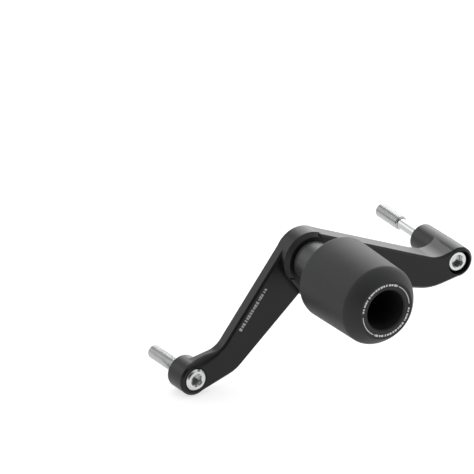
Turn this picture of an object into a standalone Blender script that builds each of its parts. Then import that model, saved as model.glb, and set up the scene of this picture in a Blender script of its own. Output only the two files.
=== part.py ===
"""Motorcycle frame slider: a crash bobbin on a stand-off, carried by a two-armed bracket.

Every piece is modelled in one working frame. In it x runs along the motorcycle, y runs up and
z runs outward, away from the motorcycle. The bobbin's axis is x = y = 0 and the bracket's rear
face is z = 0. An empty turns that frame upright and puts its middle at the origin.
Lengths are in metres and angles in degrees.
"""

import math

import bmesh
import bpy
from mathutils import Vector

# Bobbin: a turned nylon body with a tapered flank, a rounded nose and a deep bore
BOBBIN_REAR_RADIUS = 0.0302
BOBBIN_FLANK_TAPER = 1.1
BOBBIN_LENGTH = 0.0656
BOBBIN_REAR_ROUND = 0.003
BOBBIN_NOSE_LENGTH = 0.0112
BOBBIN_NOSE_DROP = 0.0077
BOBBIN_NOSE_FULLNESS = 1.35
BOBBIN_BORE_RADIUS = 0.01495
BOBBIN_BORE_CHAMFER = 0.0009
BOBBIN_WEB = 0.0177
BOBBIN_REAR_RECESS = 0.0012
BOBBIN_REAR_RIM = 0.0035
BOBBIN_SEAT_DEPTH = 0.0026

# Stand-off spindle between the bracket and the bobbin, with a rounded collar at the bobbin
SPINDLE_RADIUS = 0.0145
SPINDLE_LENGTH = 0.0307
SPINDLE_EDGE = 0.0006
SPINDLE_SPIGOT_RADIUS = 0.0114
COLLAR_RADIUS = 0.0190
COLLAR_PROUD = 0.0055
COLLAR_ROUND = 0.0035

# Flanged bush that takes the bolt's load through the nylon
BUSH_TUBE_RADIUS = 0.0080
BUSH_FLANGE_RADIUS = 0.0135
BUSH_FLANGE_THICKNESS = 0.0030

# Washer under the centre bolt's head
WASHER_RADIUS = 0.0100
WASHER_THICKNESS = 0.0020

# M10 socket head bolts
BOLT_RADIUS = 0.0049
BOLT_HEAD_RADIUS = 0.0080
BOLT_HEAD_HEIGHT = 0.0100
BOLT_HEAD_CHAMFER = 0.0013
BOLT_TIP_CHAMFER = 0.0010
HEX_KEY_WIDTH = 0.0080
HEX_SIDES = 6
HEX_DEPTH = 0.0050
BOLT_CLEARANCE = 0.0006

# Bracket head: the round middle that carries the spindle
HEAD_RADIUS = 0.0197
HEAD_THICKNESS = 0.0160
HEAD_CHAMFER_WIDTH = 0.0024
HEAD_CHAMFER_DEPTH = 0.0036
HEAD_COUNTERBORE_RADIUS = 0.0135
HEAD_COUNTERBORE_DEPTH = 0.0016

# Right arm, as thick as the head, and its long boss
RIGHT_BOSS_X = 0.1222
RIGHT_BOSS_Y = -0.0336
RIGHT_BOSS_RADIUS = 0.0110
RIGHT_BOSS_REAR_RADIUS = 0.0102
RIGHT_BOSS_REACH = 0.0323
RIGHT_TOP_CORNER = (-0.0172, 0.0071)
RIGHT_TOP_FILLET = 0.0200
RIGHT_BELLY_CORNER = (-0.0227, -0.0145)
RIGHT_BELLY_FILLET = 0.0400
RIGHT_FLARE_LEAN = 180.0
RIGHT_FLARE_LENGTH = 0.0320
RIGHT_FLARE_RISE = 0.0090
RIGHT_FLARE_RADIUS = 0.0140
RIGHT_HEAD_SINK = 0.0022

# Left arm, thinner than the head, and its short boss
LEFT_BOSS_X = -0.0897
LEFT_BOSS_Y = -0.0717
LEFT_BOSS_RADIUS = 0.0120
LEFT_BOSS_REACH = 0.0099
LEFT_ARM_THICKNESS = 0.0085
LEFT_TOP_CORNER = (0.0216, 0.0168)
LEFT_TOP_FILLET = 0.0166
LEFT_BELLY_CORNER = (0.0333, -0.0018)
LEFT_BELLY_FILLET = 0.0250
LEFT_FLARE_LEAN = 15.0
LEFT_FLARE_LENGTH = 0.0200
LEFT_FLARE_RISE = 0.0015
LEFT_FLARE_RADIUS = 0.0080
LEFT_HEAD_PROUD = 0.0015

# Broad rounding of the left arm's upper front edge, from the middle of its bend to its boss
SHOULDER_RADIUS = 0.0060
SHOULDER_SWEEP = 45.0
SHOULDER_LIFT = 0.00002
SHOULDER_STEPS = 6

# Crotch where the two arms part: a hollow round, with a web between it and the head
CROTCH_LEAN = -76.9
CROTCH_RADIUS = 0.0300
CROTCH_WEB = 0.0053
STEP_HEAD_ANGLE = 216.0
STEP_CROTCH_ANGLE = 123.0

# Edges shared by both arms and bosses
FRONT_CHAMFER = 0.0015
REAR_CHAMFER = 0.0010
FLARE_BLEND = 0.0150
COUNTERBORE_RADIUS = 0.0087

# Frame bolts behind their bosses: a thin waist first, and then the threaded end
LEFT_BOLT_REACH = 0.0366
RIGHT_BOLT_REACH = 0.0527
LEFT_BOLT_WAIST = 0.0050
RIGHT_BOLT_WAIST = 0.0261
BOLT_WAIST_RADIUS = 0.0036

# Fits and fineness
SEAT_GAP = 0.0003
SPIGOT_CLEARANCE = 0.0003
COLLAR_CLEARANCE = 0.0010
RUN_IN = 0.0003
CUT_MARGIN = 0.0050
MERGE_DISTANCE = 0.00001
ROUND_STEPS = 72
BOBBIN_STEPS = 96
BOLT_STEPS = 32
NOSE_STEPS = 7
ARC_STEP = 5.0
EDGE_STEP = 18.0
SMOOTH_ANGLE = 30.0
FLAT_ANGLE = 0.2

# Colours, each with its roughness and how metallic it is
ANODISED_FINISH = ((0.035, 0.036, 0.038), 0.42, 0.85)
TURNED_FINISH = ((0.045, 0.046, 0.048), 0.34, 0.85)
NYLON_FINISH = ((0.040, 0.041, 0.043), 0.50, 0.0)
BARE_ALUMINIUM_FINISH = ((0.62, 0.63, 0.65), 0.38, 1.0)
PLATED_STEEL_FINISH = ((0.72, 0.73, 0.75), 0.24, 1.0)

# Places along the outward axis that follow from the sizes above
BOBBIN_REAR = HEAD_THICKNESS + SPINDLE_LENGTH
BOBBIN_FRONT = BOBBIN_REAR + BOBBIN_LENGTH
BOBBIN_SEAT = BOBBIN_REAR + BOBBIN_SEAT_DEPTH
BORE_FLOOR = BOBBIN_REAR + BOBBIN_WEB
FLANGE_REAR = BORE_FLOOR + SEAT_GAP
FLANGE_FRONT = FLANGE_REAR + BUSH_FLANGE_THICKNESS
WASHER_REAR = FLANGE_FRONT + SEAT_GAP
WASHER_FRONT = WASHER_REAR + WASHER_THICKNESS
CENTRE_HEAD_SEAT = WASHER_FRONT + SEAT_GAP
LEFT_HEAD_SEAT = LEFT_ARM_THICKNESS + LEFT_HEAD_PROUD - BOLT_HEAD_HEIGHT
RIGHT_HEAD_SEAT = HEAD_THICKNESS - RIGHT_HEAD_SINK - BOLT_HEAD_HEIGHT
LEFT_BOLT_TIP = -LEFT_BOSS_REACH - LEFT_BOLT_REACH
RIGHT_BOLT_TIP = -RIGHT_BOSS_REACH - RIGHT_BOLT_REACH
LEFT_WAIST_END = -LEFT_BOSS_REACH - LEFT_BOLT_WAIST
RIGHT_WAIST_END = -RIGHT_BOSS_REACH - RIGHT_BOLT_WAIST

# Middle of the outer box, which becomes the origin
MIDDLE_X = (RIGHT_BOSS_X + RIGHT_BOSS_RADIUS + LEFT_BOSS_X - LEFT_BOSS_RADIUS) / 2
MIDDLE_Y = (BOBBIN_REAR_RADIUS + LEFT_BOSS_Y - LEFT_BOSS_RADIUS) / 2
MIDDLE_Z = (BOBBIN_FRONT + RIGHT_BOLT_TIP) / 2


def clear_scene():
    """Remove every object the file opens with."""
    for item in list(bpy.data.objects):
        bpy.data.objects.remove(item, do_unlink=True)


def new_collection(name):
    """Add a collection to the scene."""
    group = bpy.data.collections.new(name)
    bpy.context.scene.collection.children.link(group)
    return group


def paint(item, name, finish):
    """Give a piece its own Principled surface of one colour."""
    colour, roughness, metallic = finish
    material = bpy.data.materials.new(name)
    material.use_nodes = True
    shader = material.node_tree.nodes["Principled BSDF"]
    shader.inputs["Base Color"].default_value = (*colour, 1.0)
    shader.inputs["Roughness"].default_value = roughness
    shader.inputs["Metallic"].default_value = metallic
    item.data.materials.append(material)


def mark_as_cutter(item):
    """Show a cutter or a joined form as a wire that isn't part of the result."""
    item.hide_render = True
    item.display_type = "WIRE"


def add_turned(name, profile, steps, group, x=0.0, y=0.0):
    """Turn a profile of (radius, z) points about the line through (x, y)."""
    mesh = bpy.data.meshes.new(name)
    shape = bmesh.new()
    corners = [shape.verts.new((radius, 0.0, z)) for radius, z in profile]
    for first, second in zip(corners, corners[1:]):
        shape.edges.new((first, second))
    open_on_axis = profile[0][0] == 0.0 and profile[-1][0] == 0.0
    if not open_on_axis:
        shape.edges.new((corners[-1], corners[0]))
    shape.to_mesh(mesh)
    shape.free()
    item = bpy.data.objects.new(name, mesh)
    group.objects.link(item)
    item.location = (x, y, 0.0)
    turn = item.modifiers.new("turn", "SCREW")
    turn.axis = "Z"
    turn.angle = math.tau
    turn.steps = steps
    turn.render_steps = steps
    turn.use_merge_vertices = True
    turn.merge_threshold = MERGE_DISTANCE
    turn.use_smooth_shade = True
    return item


def add_boolean(item, other, operation):
    """Join or cut an object by another one."""
    step = item.modifiers.new(f"{operation.lower()} {other.name}", "BOOLEAN")
    step.operation = operation
    step.solver = "EXACT"
    step.object = other


def settle(item):
    """Replace an object's mesh by its finished form, shaded smooth with sharp edges kept."""
    bpy.context.view_layer.update()
    graph = bpy.context.evaluated_depsgraph_get()
    mesh = bpy.data.meshes.new_from_object(item.evaluated_get(graph))
    item.modifiers.clear()
    item.data = mesh
    mesh.shade_smooth()
    mesh.set_sharp_from_angle(angle=math.radians(SMOOTH_ANGLE))


def merge_flat_faces(mesh):
    """Join the flat patches that a union leaves where its forms' faces lie in one plane."""
    shape = bmesh.new()
    shape.from_mesh(mesh)
    bmesh.ops.remove_doubles(shape, verts=shape.verts, dist=MERGE_DISTANCE)
    bmesh.ops.dissolve_limit(shape, angle_limit=math.radians(FLAT_ANGLE),
                             verts=shape.verts, edges=shape.edges)
    shape.to_mesh(mesh)
    shape.free()


def unit_at(angle):
    """The unit vector at an angle in the plane."""
    return Vector((math.cos(angle), math.sin(angle)))


def arc_points(centre, radius, start, sweep, arc_step=ARC_STEP):
    """Points along an arc, both ends included. The start and the sweep are in radians."""
    count = max(1, math.ceil(abs(sweep) / math.radians(arc_step)))
    return [centre + radius * unit_at(start + sweep * step / count) for step in range(count + 1)]


def touch_angle(centre, radius, point, side):
    """The angle at which a line from a point touches a circle, ahead of it or behind."""
    reach = point - centre
    return math.atan2(reach.y, reach.x) + side * math.acos(min(1.0, radius / reach.length))


def fillet_points(before, corner, after, radius):
    """The arc that rounds a corner between two straight edges."""
    back = (before - corner).normalized()
    ahead = (after - corner).normalized()
    half_angle = back.angle(ahead) / 2
    room = min((before - corner).length, (after - corner).length) / 2
    cut_back = min(radius / math.tan(half_angle), room)
    fitted_radius = cut_back * math.tan(half_angle)
    centre = corner + (back + ahead).normalized() * fitted_radius / math.sin(half_angle)
    start = corner + back * cut_back - centre
    end = corner + ahead * cut_back - centre
    start_angle = math.atan2(start.y, start.x)
    sweep = math.remainder(math.atan2(end.y, end.x) - start_angle, math.tau)
    return arc_points(centre, fitted_radius, start_angle, sweep)


def add_prism(name, points, low, high, chamfer, group):
    """A flat outline given a thickness from low to high, with chamfered rims."""
    middle = (high + low) / 2
    curve = bpy.data.curves.new(name, "CURVE")
    curve.dimensions = "2D"
    curve.fill_mode = "BOTH"
    spline = curve.splines.new("POLY")
    spline.points.add(len(points) - 1)
    for slot, point in zip(spline.points, points):
        slot.co = (point.x, point.y, 0.0, 1.0)
    spline.use_cyclic_u = True
    curve.extrude = (high - low) / 2 - chamfer
    curve.bevel_depth = chamfer
    curve.bevel_resolution = 0
    curve.offset = -chamfer
    drawn = bpy.data.objects.new(name + "_outline", curve)
    group.objects.link(drawn)
    bpy.context.view_layer.update()
    graph = bpy.context.evaluated_depsgraph_get()
    mesh = bpy.data.meshes.new_from_object(drawn.evaluated_get(graph))
    bpy.data.objects.remove(drawn, do_unlink=True)
    shape = bmesh.new()
    shape.from_mesh(mesh)
    bmesh.ops.remove_doubles(shape, verts=shape.verts, dist=MERGE_DISTANCE)
    bmesh.ops.recalc_face_normals(shape, faces=shape.faces)
    levels = (low, low + chamfer, high - chamfer, high)
    for vert in shape.verts:
        height = vert.co.z + middle
        vert.co.z = min(levels, key=lambda level: abs(level - height))
    shape.to_mesh(mesh)
    shape.free()
    item = bpy.data.objects.new(name, mesh)
    group.objects.link(item)
    mark_as_cutter(item)
    return item


def crotch_centre():
    """Centre of the hollow round between the two arms."""
    reach = HEAD_RADIUS + CROTCH_WEB + CROTCH_RADIUS
    return reach * unit_at(math.radians(CROTCH_LEAN))


def right_arm_outline():
    """Outline of the thick right arm, from inside the head out to its boss and back."""
    head = Vector((0.0, 0.0))
    head_touch = HEAD_RADIUS - RUN_IN
    boss = Vector((RIGHT_BOSS_X, RIGHT_BOSS_Y))
    boss_touch = RIGHT_BOSS_RADIUS - RUN_IN
    top = boss + Vector(RIGHT_TOP_CORNER)
    belly = boss + Vector(RIGHT_BELLY_CORNER)
    crotch = crotch_centre()
    head_top = head + head_touch * unit_at(touch_angle(head, head_touch, top, 1))
    boss_top = boss + boss_touch * unit_at(touch_angle(boss, boss_touch, top, -1))
    boss_belly = boss + boss_touch * unit_at(touch_angle(boss, boss_touch, belly, 1))
    step_top = head + head_touch * unit_at(math.radians(STEP_HEAD_ANGLE))
    crotch_start = math.radians(STEP_CROTCH_ANGLE)
    crotch_end = touch_angle(crotch, CROTCH_RADIUS, belly, 1)
    crotch_arc = arc_points(crotch, CROTCH_RADIUS, crotch_start, crotch_end - crotch_start)
    outline = [head, step_top]
    outline += crotch_arc
    outline += fillet_points(crotch_arc[-1], belly, boss_belly, RIGHT_BELLY_FILLET)
    outline += [boss_belly, boss, boss_top]
    outline += fillet_points(boss_top, top, head_top, RIGHT_TOP_FILLET)
    outline += [head_top]
    return outline


def left_top_edge():
    """The left arm's upper edge: its touch on the head, its bend and its touch on the boss."""
    head = Vector((0.0, 0.0))
    head_touch = HEAD_RADIUS - RUN_IN
    boss = Vector((LEFT_BOSS_X, LEFT_BOSS_Y))
    boss_touch = LEFT_BOSS_RADIUS - RUN_IN
    top = boss + Vector(LEFT_TOP_CORNER)
    head_top = head + head_touch * unit_at(touch_angle(head, head_touch, top, -1))
    boss_top = boss + boss_touch * unit_at(touch_angle(boss, boss_touch, top, 1))
    return head_top, fillet_points(head_top, top, boss_top, LEFT_TOP_FILLET), boss_top


def left_arm_outline():
    """Outline of the thin left arm, from inside the head out to its boss and back."""
    boss = Vector((LEFT_BOSS_X, LEFT_BOSS_Y))
    boss_touch = LEFT_BOSS_RADIUS - RUN_IN
    belly = boss + Vector(LEFT_BELLY_CORNER)
    crotch = crotch_centre()
    head_top, bend, boss_top = left_top_edge()
    boss_belly = boss + boss_touch * unit_at(touch_angle(boss, boss_touch, belly, -1))
    crotch_touch = crotch + CROTCH_RADIUS * unit_at(touch_angle(crotch, CROTCH_RADIUS, belly, -1))
    run_on = crotch_touch + (crotch_touch - belly).normalized() * HEAD_RADIUS
    outline = [Vector((0.0, 0.0)), head_top]
    outline += bend
    outline += [boss_top, boss, boss_belly]
    outline += fillet_points(boss_belly, belly, run_on, LEFT_BELLY_FILLET)
    outline += [run_on]
    return outline


def shoulder_path():
    """Points along the left arm's upper edge, from the middle of its bend onto its boss."""
    boss = Vector((LEFT_BOSS_X, LEFT_BOSS_Y))
    _, bend, boss_top = left_top_edge()
    touch = boss_top - boss
    start = math.atan2(touch.y, touch.x) - math.acos(touch.length / LEFT_BOSS_RADIUS)
    around = arc_points(boss, LEFT_BOSS_RADIUS, start, math.radians(SHOULDER_SWEEP))
    straight = [bend[-1].lerp(around[0], step / SHOULDER_STEPS)
                for step in range(1, SHOULDER_STEPS)]
    return bend[len(bend) // 2:] + straight + around


def shoulder_section(point, outward, radius):
    """What a rounding of that radius takes off the front edge at a point of the path."""
    front = LEFT_ARM_THICKNESS + SHOULDER_LIFT
    centre = Vector((SHOULDER_LIFT - radius, front - radius))
    corners = [Vector((CUT_MARGIN, front - radius))]
    corners += arc_points(centre, radius, 0.0, math.pi / 2, EDGE_STEP)
    corners += [Vector((centre.x, front + CUT_MARGIN)), Vector((CUT_MARGIN, front + CUT_MARGIN))]
    return [(*(point + outward * corner.x), corner.y) for corner in corners]


def add_shoulder_cutter(group):
    """A loft that rounds the left arm's upper front edge, and fades into its chamfer."""
    path = shoulder_path()
    lengths = [(after - before).length for before, after in zip(path, path[1:])]
    shape = bmesh.new()
    rings = []
    for index, point in enumerate(path):
        ahead = path[min(index + 1, len(path) - 1)] - path[max(index - 1, 0)]
        outward = Vector((ahead.y, -ahead.x)).normalized()
        share = sum(lengths[:index]) / sum(lengths)
        radius = FRONT_CHAMFER + (SHOULDER_RADIUS - FRONT_CHAMFER) * math.sin(math.pi * share)
        section = shoulder_section(point, outward, radius)
        rings.append([shape.verts.new(corner) for corner in section])
    for ring, following in zip(rings, rings[1:]):
        for index, vert in enumerate(ring):
            shape.faces.new((ring[index - 1], vert, following[index], following[index - 1]))
    shape.faces.new(rings[0])
    shape.faces.new(rings[-1])
    bmesh.ops.triangulate(shape, faces=shape.faces)
    bmesh.ops.recalc_face_normals(shape, faces=shape.faces)
    mesh = bpy.data.meshes.new("shoulder_cutter")
    shape.to_mesh(mesh)
    shape.free()
    item = bpy.data.objects.new("shoulder_cutter", mesh)
    group.objects.link(item)
    mark_as_cutter(item)
    return item


def add_flare_cutter(name, boss_x, boss_y, lean, flare, group):
    """Cut away what lies behind an arm, up to the concave flare that runs into its boss."""
    length, rise, radius, behind = flare
    reach = math.hypot(boss_x, boss_y) + HEAD_RADIUS + CUT_MARGIN
    far = Vector((reach, 0.0))
    start = Vector((length, 0.0))
    foot = Vector((RUN_IN, rise))
    rear = Vector((RUN_IN, behind))
    points = [far]
    points += fillet_points(far, start, foot, FLARE_BLEND)
    points += fillet_points(start, foot, rear, radius)
    points += [rear, Vector((reach, behind))]
    item = add_prism(name, points, -reach, reach, 0.0, group)
    for vert in item.data.vertices:
        vert.co = (vert.co.x, vert.co.z, -vert.co.y)
    item.location = (boss_x, boss_y, 0.0)
    item.rotation_euler = (0.0, 0.0, math.radians(lean))
    return item


def add_arm(name, outline, front, boss_reach, group):
    """An arm's prism, which starts deep behind the arm so that its flare can be cut from it."""
    return add_prism(name, outline, -boss_reach, front, FRONT_CHAMFER, group)


def boss_profile(front, reach, radius, rear_radius):
    """A boss from its front face back to its rear rim, straight beside the arm and then tapered."""
    return [
        (0.0, front),
        (radius - FRONT_CHAMFER, front),
        (radius, front - FRONT_CHAMFER),
        (radius, 0.0),
        (rear_radius, REAR_CHAMFER - reach),
        (rear_radius - REAR_CHAMFER, -reach),
        (0.0, -reach),
    ]


def head_profile():
    """The round head with the broad chamfer around its front."""
    return [
        (0.0, HEAD_THICKNESS),
        (HEAD_RADIUS - HEAD_CHAMFER_WIDTH, HEAD_THICKNESS),
        (HEAD_RADIUS, HEAD_THICKNESS - HEAD_CHAMFER_DEPTH),
        (HEAD_RADIUS, 0.0),
        (0.0, 0.0),
    ]


def bolt_hole_profile(front, floor, reach):
    """A counterbore for a bolt's head and the clearance hole behind it."""
    hole = BOLT_RADIUS + BOLT_CLEARANCE
    return [
        (0.0, front + CUT_MARGIN),
        (COUNTERBORE_RADIUS, front + CUT_MARGIN),
        (COUNTERBORE_RADIUS, floor),
        (hole, floor),
        (hole, -reach - CUT_MARGIN),
        (0.0, -reach - CUT_MARGIN),
    ]


def spigot_hole_profile():
    """The head's through bore for the spindle's spigot, opened out on the motorcycle's side."""
    hole = SPINDLE_SPIGOT_RADIUS + SPIGOT_CLEARANCE
    spread = HEAD_COUNTERBORE_RADIUS - hole
    return [
        (0.0, HEAD_THICKNESS + CUT_MARGIN),
        (hole, HEAD_THICKNESS + CUT_MARGIN),
        (hole, HEAD_COUNTERBORE_DEPTH),
        (hole + spread / 2, HEAD_COUNTERBORE_DEPTH),
        (HEAD_COUNTERBORE_RADIUS, 0.0),
        (HEAD_COUNTERBORE_RADIUS + CUT_MARGIN, -CUT_MARGIN),
        (0.0, -CUT_MARGIN),
    ]


def add_form(name, profile, steps, group, x=0.0, y=0.0):
    """A turned form that is joined to another piece or cut out of it."""
    item = add_turned(name, profile, steps, group, x, y)
    mark_as_cutter(item)
    return item


def build_bracket(parts, forms):
    """The one-piece aluminium bracket: head, two arms, two bosses and their bores."""
    right_behind = RIGHT_BOSS_REACH - CUT_MARGIN
    left_behind = LEFT_BOSS_REACH - REAR_CHAMFER
    right_arm = add_arm("right_arm_form", right_arm_outline(), HEAD_THICKNESS,
                        right_behind, forms)
    left_arm = add_arm("left_arm_form", left_arm_outline(), LEFT_ARM_THICKNESS,
                       left_behind, forms)
    right_flare = (RIGHT_FLARE_LENGTH, RIGHT_FLARE_RISE, RIGHT_FLARE_RADIUS,
                   right_behind + CUT_MARGIN)
    left_flare = (LEFT_FLARE_LENGTH, LEFT_FLARE_RISE, LEFT_FLARE_RADIUS,
                  left_behind + CUT_MARGIN)
    add_boolean(right_arm, add_flare_cutter("right_flare_cutter", RIGHT_BOSS_X, RIGHT_BOSS_Y,
                                            RIGHT_FLARE_LEAN, right_flare, forms),
                "DIFFERENCE")
    add_boolean(left_arm, add_flare_cutter("left_flare_cutter", LEFT_BOSS_X, LEFT_BOSS_Y,
                                           LEFT_FLARE_LEAN, left_flare, forms), "DIFFERENCE")
    right_boss = add_form(
        "right_boss_form",
        boss_profile(HEAD_THICKNESS, RIGHT_BOSS_REACH, RIGHT_BOSS_RADIUS, RIGHT_BOSS_REAR_RADIUS),
        ROUND_STEPS, forms, RIGHT_BOSS_X, RIGHT_BOSS_Y)
    left_boss = add_form(
        "left_boss_form",
        boss_profile(LEFT_ARM_THICKNESS, LEFT_BOSS_REACH, LEFT_BOSS_RADIUS, LEFT_BOSS_RADIUS),
        ROUND_STEPS, forms, LEFT_BOSS_X, LEFT_BOSS_Y)
    spigot_hole = add_form("spigot_hole_cutter", spigot_hole_profile(), ROUND_STEPS, forms)
    right_hole = add_form(
        "right_hole_cutter",
        bolt_hole_profile(HEAD_THICKNESS, RIGHT_HEAD_SEAT - SEAT_GAP, RIGHT_BOSS_REACH),
        ROUND_STEPS, forms, RIGHT_BOSS_X, RIGHT_BOSS_Y)
    left_hole = add_form(
        "left_hole_cutter",
        bolt_hole_profile(LEFT_ARM_THICKNESS, LEFT_HEAD_SEAT - SEAT_GAP, LEFT_BOSS_REACH),
        ROUND_STEPS, forms, LEFT_BOSS_X, LEFT_BOSS_Y)
    bracket = add_turned("bracket", head_profile(), ROUND_STEPS, parts)
    for form in (right_arm, left_arm, right_boss, left_boss):
        add_boolean(bracket, form, "UNION")
    settle(bracket)
    merge_flat_faces(bracket.data)
    shoulder = add_shoulder_cutter(forms)
    for cutter in (shoulder, spigot_hole, right_hole, left_hole):
        add_boolean(bracket, cutter, "DIFFERENCE")
    settle(bracket)
    paint(bracket, "black_anodised", ANODISED_FINISH)


def nose_points():
    """The bobbin's rounded nose, from its front face back to its flank."""
    flank = BOBBIN_REAR_RADIUS
    flank -= (BOBBIN_LENGTH - BOBBIN_NOSE_LENGTH) * math.tan(math.radians(BOBBIN_FLANK_TAPER))
    points = []
    for step in range(NOSE_STEPS + 1):
        share = step / NOSE_STEPS
        drop = BOBBIN_NOSE_DROP * (1 - share) ** BOBBIN_NOSE_FULLNESS
        points.append((flank - drop, BOBBIN_FRONT - BOBBIN_NOSE_LENGTH * share))
    return points


def rear_round_points(radius, rear, rounding):
    """A rounded rear edge, from a flank of that radius to the rear face."""
    centre = Vector((radius - rounding, rear + rounding))
    arc = arc_points(centre, rounding, 0.0, -math.pi / 2, EDGE_STEP)
    return [tuple(point) for point in arc]


def build_bobbin(parts):
    """The nylon bobbin with its bore, its web and the seat for the spindle's collar."""
    bush_hole = BUSH_TUBE_RADIUS + SEAT_GAP
    recess_outer = BOBBIN_REAR_RADIUS - BOBBIN_REAR_ROUND - BOBBIN_REAR_RIM
    recess = BOBBIN_REAR + BOBBIN_REAR_RECESS
    seat_radius = COLLAR_RADIUS + COLLAR_CLEARANCE
    profile = [(BOBBIN_BORE_RADIUS, BOBBIN_FRONT - BOBBIN_BORE_CHAMFER)]
    profile += [(BOBBIN_BORE_RADIUS + BOBBIN_BORE_CHAMFER, BOBBIN_FRONT)]
    profile += nose_points()
    profile += rear_round_points(BOBBIN_REAR_RADIUS, BOBBIN_REAR, BOBBIN_REAR_ROUND)
    profile += [
        (recess_outer, BOBBIN_REAR),
        (recess_outer, recess),
        (seat_radius, recess),
        (seat_radius, BOBBIN_SEAT),
        (bush_hole, BOBBIN_SEAT),
        (bush_hole, BORE_FLOOR),
        (BOBBIN_BORE_RADIUS, BORE_FLOOR),
    ]
    bobbin = add_turned("bobbin", profile, BOBBIN_STEPS, parts)
    settle(bobbin)
    paint(bobbin, "black_nylon", NYLON_FINISH)


def build_spindle(parts):
    """The stand-off, with its collar in the bobbin and its spigot in the bracket's head."""
    hole = BOLT_RADIUS + SEAT_GAP
    front = BOBBIN_SEAT - SEAT_GAP
    shoulder = HEAD_THICKNESS + SEAT_GAP
    profile = [
        (hole, front),
        (COLLAR_RADIUS - SPINDLE_EDGE, front),
        (COLLAR_RADIUS, front - SPINDLE_EDGE),
    ]
    profile += rear_round_points(COLLAR_RADIUS, BOBBIN_REAR - COLLAR_PROUD, COLLAR_ROUND)
    profile += [
        (SPINDLE_RADIUS, BOBBIN_REAR - COLLAR_PROUD),
        (SPINDLE_RADIUS, shoulder + SPINDLE_EDGE),
        (SPINDLE_RADIUS - SPINDLE_EDGE, shoulder),
        (SPINDLE_SPIGOT_RADIUS, shoulder),
        (SPINDLE_SPIGOT_RADIUS, SPINDLE_EDGE),
        (SPINDLE_SPIGOT_RADIUS - SPINDLE_EDGE, 0.0),
        (hole, 0.0),
    ]
    spindle = add_turned("spindle", profile, ROUND_STEPS, parts)
    settle(spindle)
    paint(spindle, "turned_black", TURNED_FINISH)


def build_bush(parts):
    """The flanged aluminium bush through the bobbin's web."""
    hole = BOLT_RADIUS + BOLT_CLEARANCE
    profile = [
        (hole, FLANGE_FRONT),
        (BUSH_FLANGE_RADIUS, FLANGE_FRONT),
        (BUSH_FLANGE_RADIUS, FLANGE_REAR),
        (BUSH_TUBE_RADIUS, FLANGE_REAR),
        (BUSH_TUBE_RADIUS, BOBBIN_SEAT),
        (hole, BOBBIN_SEAT),
    ]
    bush = add_turned("bobbin_bush", profile, ROUND_STEPS, parts)
    settle(bush)
    paint(bush, "machined_aluminium", BARE_ALUMINIUM_FINISH)


def build_washer(parts):
    """The flat washer under the centre bolt's head."""
    hole = BOLT_RADIUS + BOLT_CLEARANCE
    profile = [
        (hole, WASHER_FRONT),
        (WASHER_RADIUS, WASHER_FRONT),
        (WASHER_RADIUS, WASHER_REAR),
        (hole, WASHER_REAR),
    ]
    washer = add_turned("centre_bolt_washer", profile, ROUND_STEPS, parts)
    settle(washer)
    paint(washer, "washer_steel", PLATED_STEEL_FINISH)


def head_points(seat):
    """A socket head's outer profile, from its chamfered top down to its seat."""
    top = seat + BOLT_HEAD_HEIGHT
    return [
        (0.0, top),
        (BOLT_HEAD_RADIUS - BOLT_HEAD_CHAMFER, top),
        (BOLT_HEAD_RADIUS, top - BOLT_HEAD_CHAMFER),
        (BOLT_HEAD_RADIUS, seat),
    ]


def tip_points(radius, tip):
    """A shank's chamfered end."""
    return [
        (radius, tip + BOLT_TIP_CHAMFER),
        (radius - BOLT_TIP_CHAMFER, tip),
        (0.0, tip),
    ]


def build_bolt(name, profile, seat, parts, forms, x=0.0, y=0.0):
    """A socket head bolt: a turned blank with its hexagon socket cut in."""
    bolt = add_turned(name, profile, BOLT_STEPS, parts, x, y)
    socket_radius = HEX_KEY_WIDTH / 2 / math.cos(math.pi / HEX_SIDES)
    corners = [socket_radius * unit_at(math.tau * side / HEX_SIDES)
               for side in range(HEX_SIDES)]
    top = seat + BOLT_HEAD_HEIGHT
    socket = add_prism(name + "_socket_cutter", corners, top - HEX_DEPTH, top + CUT_MARGIN, 0.0,
                       forms)
    socket.location = (x, y, 0.0)
    add_boolean(bolt, socket, "DIFFERENCE")
    settle(bolt)
    paint(bolt, name + "_steel", PLATED_STEEL_FINISH)


def build_centre_bolt(parts, forms):
    """The bolt that clamps the bobbin and ends flush with the bracket's rear face."""
    profile = head_points(CENTRE_HEAD_SEAT) + [(BOLT_RADIUS, CENTRE_HEAD_SEAT)]
    profile += tip_points(BOLT_RADIUS, 0.0)
    build_bolt("centre_bolt", profile, CENTRE_HEAD_SEAT, parts, forms)


def waisted_profile(seat, waist_end, tip):
    """A frame bolt's profile: its head, its thin waist and its threaded end."""
    profile = head_points(seat) + [
        (BOLT_WAIST_RADIUS, seat),
        (BOLT_WAIST_RADIUS, waist_end),
        (BOLT_RADIUS - BOLT_TIP_CHAMFER, waist_end),
        (BOLT_RADIUS, waist_end - BOLT_TIP_CHAMFER),
    ]
    return profile + tip_points(BOLT_RADIUS, tip)


def build_left_bolt(parts, forms):
    """The short frame bolt."""
    profile = waisted_profile(LEFT_HEAD_SEAT, LEFT_WAIST_END, LEFT_BOLT_TIP)
    build_bolt("left_frame_bolt", profile, LEFT_HEAD_SEAT, parts, forms,
               LEFT_BOSS_X, LEFT_BOSS_Y)


def build_right_bolt(parts, forms):
    """The long frame bolt."""
    profile = waisted_profile(RIGHT_HEAD_SEAT, RIGHT_WAIST_END, RIGHT_BOLT_TIP)
    build_bolt("right_frame_bolt", profile, RIGHT_HEAD_SEAT, parts, forms,
               RIGHT_BOSS_X, RIGHT_BOSS_Y)


def stand_upright(parts, forms):
    """Hang every object on an empty that turns the working frame upright about its middle."""
    pieces = list(parts.objects) + list(forms.objects)
    home = bpy.data.objects.new("slider_frame", None)
    parts.objects.link(home)
    home.rotation_euler = (math.pi / 2, 0.0, 0.0)
    home.location = (-MIDDLE_X, MIDDLE_Z, -MIDDLE_Y)
    for piece in pieces:
        piece.parent = home


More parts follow.
